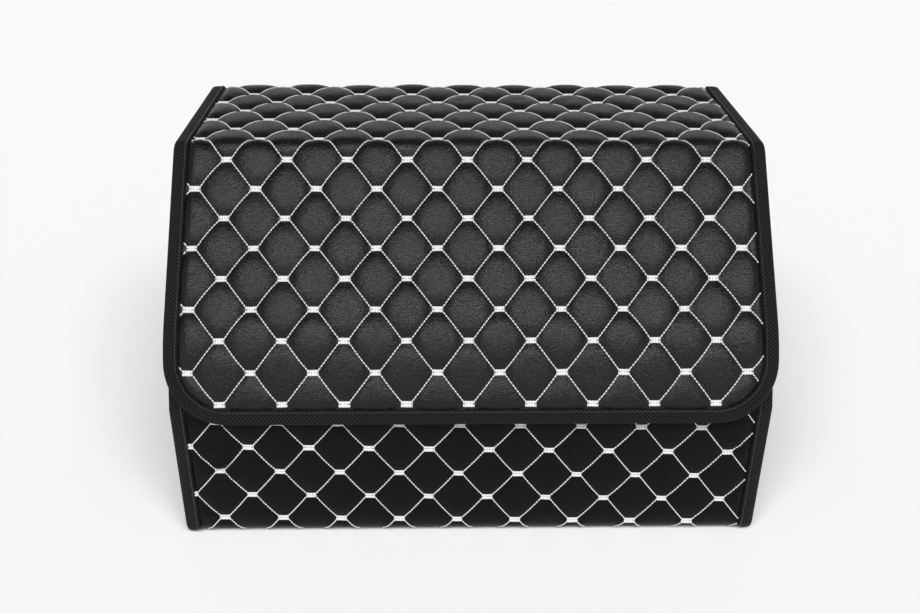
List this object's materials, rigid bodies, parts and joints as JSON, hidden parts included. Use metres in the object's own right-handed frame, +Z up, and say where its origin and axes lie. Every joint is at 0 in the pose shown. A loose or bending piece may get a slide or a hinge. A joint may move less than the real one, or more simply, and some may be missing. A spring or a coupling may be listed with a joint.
{
  "type": "organizer bag",
  "caption": "Boxy quilted storage bag for a car trunk, with a sloping hinged lid whose front folds over the front wall as a flap, and a carrying handle on each side.",
  "frame": {"origin": "centre of the bounding box's footprint, on the ground", "axes": "+X to the right along the long side, +Y to the back where the lid hinges, +Z up; the front faces -Y"},
  "size_m": [0.5212, 0.3204, 0.3155],
  "materials": {
    "leather": "fine-grained black artificial leather, soft sheen",
    "tape": "woven black binding tape",
    "webbing": "woven black webbing",
    "thread": "white polyester thread, satin",
    "lining": "matte black non-woven lining",
    "board": "stiffening board",
    "hook_and_loop": "black hook and loop tape"
  },
  "bodies": {
    "bag": {"front_panel": "leather", "front_stitching": "thread", "front_board": "board", "front_lining": "lining", "front_binding_left": "tape", "front_binding_right": "tape", "front_rim_binding": "tape", "loop_strip_left": "hook_and_loop", "loop_strip_right": "hook_and_loop", "bottom_panel": "leather", "base_board": "board", "base_lining": "lining", "back_panel": "leather", "back_board": "board", "back_lining": "lining", "back_binding_left": "tape", "back_binding_right": "tape", "side_panel_left": "leather", "side_board_left": "board", "side_lining_left": "lining", "side_rim_binding_left": "tape", "handle_left": "webbing", "side_panel_right": "leather", "side_board_right": "board", "side_lining_right": "lining", "side_rim_binding_right": "tape", "handle_right": "webbing"},
    "lid": {"lid_top_cover": "leather", "lid_top_stitching": "thread", "lid_top_board": "board", "lid_top_lining": "lining", "lid_top_binding_left": "tape", "lid_top_binding_right": "tape"},
    "flap": {"flap_cover": "leather", "flap_stitching": "thread", "flap_board": "board", "flap_lining": "lining", "flap_binding": "tape", "hook_strip_left": "hook_and_loop", "hook_strip_right": "hook_and_loop"}
  },
  "joints": [
    {"name": "lid_hinge", "type": "hinge", "parent": "bag", "child": "lid", "pos_m": [0, 0.1608, 0.3161], "axis": [-1, 0, 0], "range_deg": [0, 200]},
    {"name": "flap_fold", "type": "hinge", "parent": "lid", "child": "flap", "pos_m": [0, -0.02413, 0.3161], "axis": [-1, 0, 0], "range_deg": [0, 90]}
  ]
}
